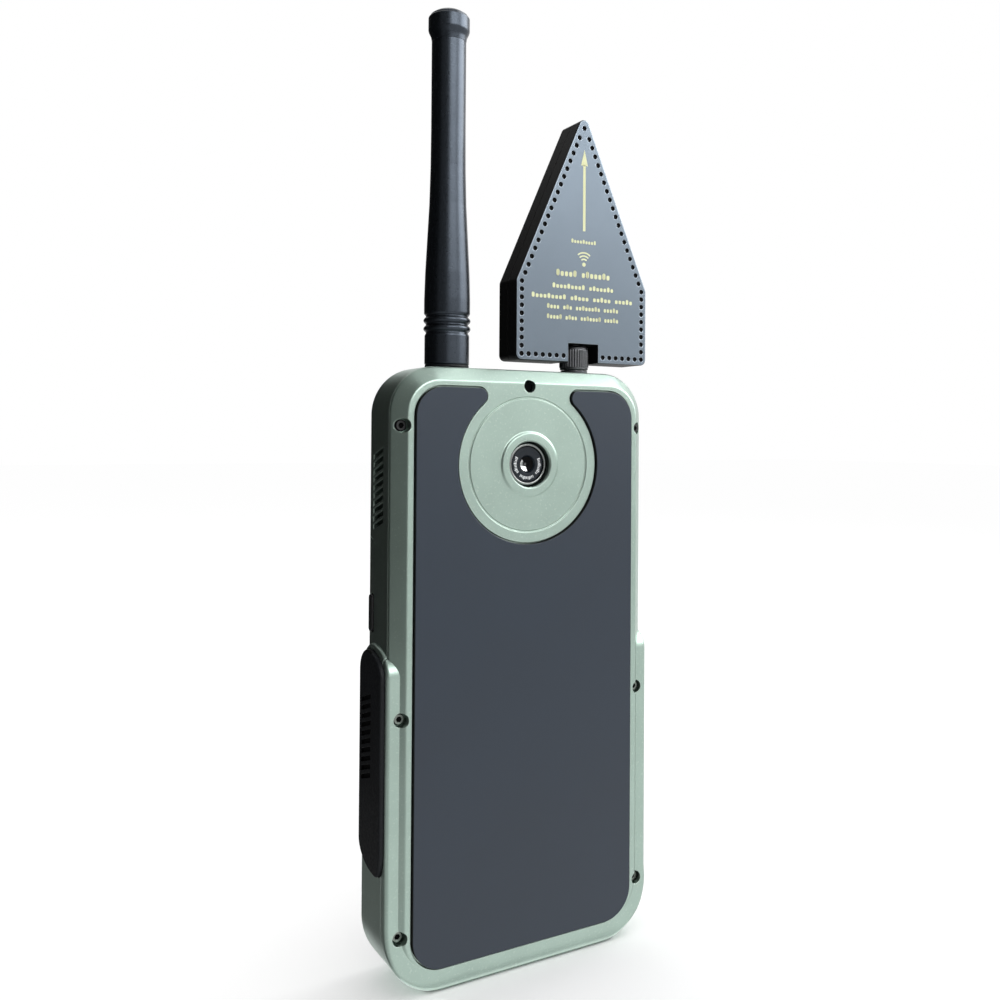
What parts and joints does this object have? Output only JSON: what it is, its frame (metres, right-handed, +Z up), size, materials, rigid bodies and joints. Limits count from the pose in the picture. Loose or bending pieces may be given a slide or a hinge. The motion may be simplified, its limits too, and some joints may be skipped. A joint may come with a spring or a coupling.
{
  "type": "spectrum analyzer",
  "caption": "Handheld spectrum analyzer: slim sage-green metal body with a touch screen, round rear camera boss, rubber side grips, screw-on rod antenna and arrow-shaped directional antenna.",
  "frame": {"origin": "centre of the flat base that the body stands on, midway between the rearmost and frontmost points", "axes": "+Z up along the body towards the antennas, +Y out of the touch screen, -Y out of the rear camera, +X to the right as seen from the camera side"},
  "size_m": [0.0988, 0.025, 0.3039],
  "materials": {
    "sage_paint": "satin bead-blasted sage green",
    "slate_panel": "matt slate grey",
    "grip_rubber": "matt black moulded rubber",
    "antenna_rubber": "satin black sheath",
    "black_plastic": "matt black",
    "antenna_plastic": "semi-gloss black",
    "cover_glass": "polished black glass",
    "lens_glass": "coated lens glass",
    "bright_steel": "polished ring",
    "black_steel": "black oxide",
    "gilt_brass": "gold-plated",
    "circuit_board": "solder mask",
    "tinned_steel": "tinned",
    "battery_wrap": "shrink wrap"
  },
  "bodies": {
    "instrument": {"rear_cover": "sage_paint", "main_frame": "sage_paint", "rear_panel": "slate_panel", "grip_pad_left": "grip_rubber", "grip_pad_right": "grip_rubber", "cover_screw_1": "black_steel", "cover_screw_2": "black_steel", "cover_screw_3": "black_steel", "cover_screw_4": "black_steel", "cover_screw_5": "black_steel", "cover_screw_6": "black_steel", "touch_glass": "cover_glass", "display_module": "tinned_steel", "lens_barrel": "black_plastic", "lens_ring": "bright_steel", "lens_glass": "lens_glass", "camera_module": "black_plastic", "rear_microphone": "black_plastic", "main_board": "circuit_board", "battery_pack": "battery_wrap", "rf_shield": "tinned_steel", "speaker": "black_plastic", "usb_port": "tinned_steel", "fan_housing": "black_plastic", "button_switch": "black_steel", "antenna_jack_left": "black_steel", "antenna_jack_right": "black_steel", "jack_nut_left": "tinned_steel", "jack_nut_right": "tinned_steel", "antenna_coax_left": "black_plastic", "antenna_coax_right": "black_plastic"},
    "button": {"power_button": "black_plastic"},
    "fan": {"fan_rotor": "black_plastic"},
    "rod_seal": {"rod_antenna_gasket": "grip_rubber"},
    "rod_antenna": {"rod_antenna_sheath": "antenna_rubber", "rod_antenna_cap": "antenna_rubber", "rod_antenna_plug": "gilt_brass", "rod_antenna_radiator": "gilt_brass"},
    "directional_antenna": {"directional_antenna_rear_shell": "antenna_plastic", "directional_antenna_front_shell": "antenna_plastic", "directional_antenna_board": "circuit_board", "directional_antenna_plug": "gilt_brass"},
    "coupling_nut": {"directional_antenna_nut": "black_steel"}
  },
  "joints": [
    {"name": "power_button_press", "type": "slide", "parent": "instrument", "child": "button", "axis": [1, 0, 0], "range_m": [0, 0.0004], "stiffness_N_per_m": 600, "springref_m": -0.0015},
    {"name": "fan_spin", "type": "hinge", "parent": "instrument", "child": "fan", "pos_m": [-0.0305, 0, 0.153], "axis": [0, 1, 0], "continuous": true},
    {"name": "rod_antenna_lift", "type": "slide", "parent": "instrument", "child": "rod_seal", "axis": [0, 0, 1], "range_m": [0, 0.0022]},
    {"name": "rod_antenna_turn", "type": "hinge", "parent": "rod_seal", "child": "rod_antenna", "pos_m": [-0.0239, 0, 0.19], "axis": [0, 0, 1], "range_deg": [0, 1080]},
    {"name": "directional_antenna_swivel", "type": "hinge", "parent": "instrument", "child": "directional_antenna", "pos_m": [0.0239, 0, 0.19], "axis": [0, 0, 1], "continuous": true},
    {"name": "coupling_nut_spin", "type": "hinge", "parent": "directional_antenna", "child": "coupling_nut", "pos_m": [0.0239, 0, 0.19], "axis": [0, 0, 1], "continuous": true}
  ],
  "couplings": [
    {"joint": "rod_antenna_lift", "follows": "rod_antenna_turn", "m_per_rad": 0.0001123}
  ]
}
